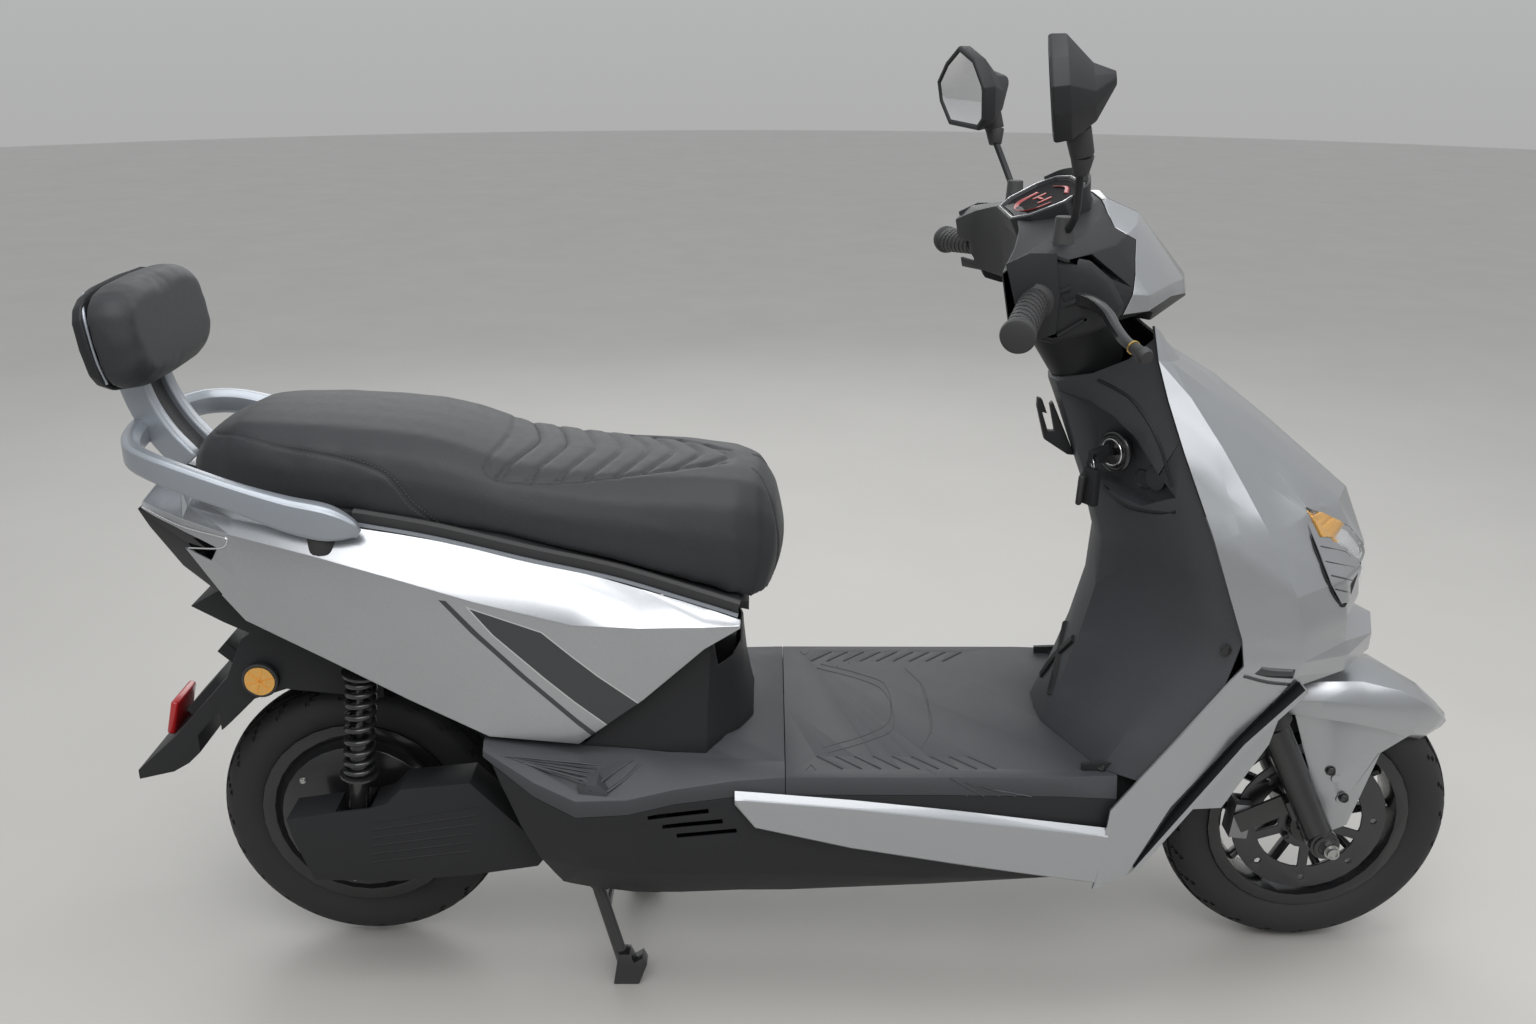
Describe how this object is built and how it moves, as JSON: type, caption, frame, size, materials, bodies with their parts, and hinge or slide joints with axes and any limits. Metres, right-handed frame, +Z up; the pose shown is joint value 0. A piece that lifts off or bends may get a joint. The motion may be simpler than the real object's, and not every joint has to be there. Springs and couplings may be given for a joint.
{
  "type": "seated electric scooter",
  "caption": "Seated electric scooter with step-through floor, hub motor rear wheel, twin shock absorbers, lifting seat, grab rail with backrest, leg shield, mirrors and centre stand.",
  "frame": {"origin": "on the ground under the middle of the scooter's length and width", "axes": "+X ahead, +Y to the rider's left, +Z up"},
  "size_m": [1.8538, 0.6884, 1.2788],
  "materials": {
    "silver_paint": "silver lacquer with fine flake, satin gloss",
    "rail_silver": "grey silver lacquer",
    "black_plastic": "fine grained moulded plastic",
    "floor_plastic": "leather-grained moulded plastic",
    "black_paint": "gloss black enamel",
    "wheel_paint": "satin black wheel paint",
    "disc_steel": "turned steel",
    "caliper_alloy": "cast alloy",
    "lock_chrome": "polished",
    "rubber": "moulded rubber",
    "tyre": "tread rubber",
    "seat_cover": "grained leatherette, stitched",
    "clear_lens": "clear moulded lens",
    "amber_lens": "amber prismatic lens",
    "tail_lens": "dark smoked lens",
    "display_lens": "smoked display window"
  },
  "bodies": {
    "frame": {"main_frame": "black_paint", "battery_pack": "black_plastic", "storage_bucket": "black_plastic", "side_cover_left": "silver_paint", "side_cover_right": "silver_paint", "tail_light": "tail_lens", "rear_fender": "black_plastic", "side_reflector_left": "amber_lens", "side_reflector_right": "amber_lens", "belly_cover": "black_plastic", "floorboard": "floor_plastic", "battery_lid": "floor_plastic", "under_seat_panel": "black_plastic", "leg_shield": "floor_plastic", "front_cover": "silver_paint", "headlight": "clear_lens", "grab_rail": "rail_silver", "backrest_shell": "rail_silver", "backrest_pad": "seat_cover", "bag_hook": "black_plastic", "ignition_lock": "lock_chrome"},
    "key": {"ignition_key": "black_plastic"},
    "fob": {"key_fob": "black_plastic"},
    "seat": {"seat_base": "black_plastic", "seat_cushion": "seat_cover"},
    "stand": {"centre_stand": "black_paint"},
    "swing": {"swingarm": "black_paint", "swingarm_cover_left": "black_plastic", "swingarm_cover_right": "black_plastic"},
    "shock_top_left": {"shock_upper_left": "black_paint", "shock_spring_left": "black_paint"},
    "shock_top_right": {"shock_upper_right": "black_paint", "shock_spring_right": "black_paint"},
    "shock_foot_left": {"shock_lower_left": "black_paint"},
    "shock_foot_right": {"shock_lower_right": "black_paint"},
    "rear_wheel": {"hub_motor": "wheel_paint", "rear_tyre": "tyre"},
    "steering": {"steering_stem": "black_paint", "bar_cover_rear": "black_plastic", "bar_cover_front": "silver_paint", "dash_display": "display_lens", "left_grip": "rubber", "switch_block_left": "black_plastic", "switch_block_right": "black_plastic"},
    "throttle": {"throttle_grip": "rubber"},
    "lever_left": {"brake_lever_left": "black_paint"},
    "lever_right": {"brake_lever_right": "black_paint"},
    "horn": {"horn_button": "rubber"},
    "mirror_arm_left": {"mirror_stem_left": "black_paint"},
    "mirror_arm_right": {"mirror_stem_right": "black_paint"},
    "mirror_left": {"mirror_head_left": "black_plastic"},
    "mirror_right": {"mirror_head_right": "black_plastic"},
    "fork": {"fork_sliders": "black_paint", "brake_caliper": "caliper_alloy", "front_fender": "silver_paint", "gaiter_left": "rubber", "gaiter_right": "rubber"},
    "front_wheel": {"front_rim": "wheel_paint", "front_tyre": "tyre", "brake_disc": "disc_steel"}
  },
  "joints": [
    {"name": "steering", "type": "hinge", "parent": "frame", "child": "steering", "pos_m": [0.29637, 0, 1], "axis": [-0.4384, 0, 0.8988], "range_deg": [-35, 35]},
    {"name": "fork_travel", "type": "slide", "parent": "steering", "child": "fork", "axis": [-0.4384, 0, 0.8988], "range_m": [0, 0.04], "stiffness_N_per_m": 16000, "springref_m": -0.045, "deforming": ["gaiter_left", "gaiter_right"]},
    {"name": "front_wheel_spin", "type": "hinge", "parent": "fork", "child": "front_wheel", "pos_m": [0.72306, 0, 0.205], "axis": [0, 1, 0], "continuous": true},
    {"name": "rear_suspension", "type": "hinge", "parent": "frame", "child": "swing", "pos_m": [-0.31594, 0, 0.235], "axis": [0, 1, 0], "range_deg": [0, 6.3], "stiffness_Nm_per_rad": 900, "springref_deg": -17.19, "deforming": ["shock_spring_left", "shock_spring_right"]},
    {"name": "rear_wheel_spin", "type": "hinge", "parent": "swing", "child": "rear_wheel", "pos_m": [-0.63094, 0, 0.212], "axis": [0, 1, 0], "continuous": true},
    {"name": "shock_top_left_pivot", "type": "hinge", "parent": "frame", "child": "shock_top_left", "pos_m": [-0.58094, 0.124, 0.505], "axis": [0, 1, 0], "range_deg": [-2, 2]},
    {"name": "shock_foot_left_pivot", "type": "hinge", "parent": "swing", "child": "shock_foot_left", "pos_m": [-0.60694, 0.124, 0.268], "axis": [0, 1, 0], "range_deg": [-8, 2]},
    {"name": "shock_top_right_pivot", "type": "hinge", "parent": "frame", "child": "shock_top_right", "pos_m": [-0.58094, -0.124, 0.505], "axis": [0, 1, 0], "range_deg": [-2, 2]},
    {"name": "shock_foot_right_pivot", "type": "hinge", "parent": "swing", "child": "shock_foot_right", "pos_m": [-0.60694, -0.124, 0.268], "axis": [0, 1, 0], "range_deg": [-8, 2]},
    {"name": "seat_hinge", "type": "hinge", "parent": "frame", "child": "seat", "pos_m": [-0.10294, 0, 0.517], "axis": [0, 1, 0], "range_deg": [0, 75]},
    {"name": "stand_fold", "type": "hinge", "parent": "frame", "child": "stand", "pos_m": [-0.28994, 0, 0.15], "axis": [0, 1, 0], "range_deg": [0, 75]},
    {"name": "throttle_twist", "type": "hinge", "parent": "steering", "child": "throttle", "pos_m": [0.29462, -0.07, 1.0036], "axis": [-0.3063, -0.9455, -0.1107], "range_deg": [0, 65], "stiffness_Nm_per_rad": 0.15, "springref_deg": -17.19},
    {"name": "brake_squeeze_left", "type": "hinge", "parent": "steering", "child": "lever_left", "pos_m": [0.2877, 0.20231, 0.9965], "axis": [-0.4329, -0.0348, 0.9008], "range_deg": [0, 16], "stiffness_Nm_per_rad": 1.2, "springref_deg": -14.32},
    {"name": "brake_squeeze_right", "type": "hinge", "parent": "steering", "child": "lever_right", "pos_m": [0.2877, -0.20231, 0.9965], "axis": [0.4329, -0.0348, -0.9008], "range_deg": [0, 16], "stiffness_Nm_per_rad": 1.2, "springref_deg": -14.32},
    {"name": "horn_press", "type": "slide", "parent": "steering", "child": "horn", "axis": [0.8478, 0.3239, 0.4199], "range_m": [0, 0.002], "stiffness_N_per_m": 300, "springref_m": -0.004},
    {"name": "mirror_arm_left_turn", "type": "hinge", "parent": "steering", "child": "mirror_arm_left", "pos_m": [0.28406, 0.172, 1.0515], "axis": [0, 0, 1], "range_deg": [-30, 30]},
    {"name": "mirror_arm_right_turn", "type": "hinge", "parent": "steering", "child": "mirror_arm_right", "pos_m": [0.28406, -0.172, 1.0515], "axis": [0, 0, 1], "range_deg": [-30, 30]},
    {"name": "mirror_left_tilt", "type": "hinge", "parent": "mirror_arm_left", "child": "mirror_left", "pos_m": [0.25706, 0.24, 1.142], "axis": [0.5299, 0.848, 0], "range_deg": [-10, 10]},
    {"name": "mirror_right_tilt", "type": "hinge", "parent": "mirror_arm_right", "child": "mirror_right", "pos_m": [0.28306, -0.242, 1.158], "axis": [-0.342, 0.9397, 0], "range_deg": [-10, 10]},
    {"name": "key_turn", "type": "hinge", "parent": "frame", "child": "key", "pos_m": [0.39977, -0.066, 0.77], "axis": [0.8441, 0.5362, 0], "range_deg": [0, 90]},
    {"name": "fob_swing", "type": "hinge", "parent": "key", "child": "fob", "pos_m": [0.35757, -0.09281, 0.7697], "axis": [-0.5362, 0.8441, 0], "range_deg": [-15, 30]}
  ],
  "couplings": [
    {"joint": "shock_top_left_pivot", "follows": "rear_suspension", "ratio": -0.0833},
    {"joint": "shock_foot_left_pivot", "follows": "rear_suspension", "ratio": -1.0833},
    {"joint": "shock_top_right_pivot", "follows": "rear_suspension", "ratio": -0.0833},
    {"joint": "shock_foot_right_pivot", "follows": "rear_suspension", "ratio": -1.0833}
  ]
}
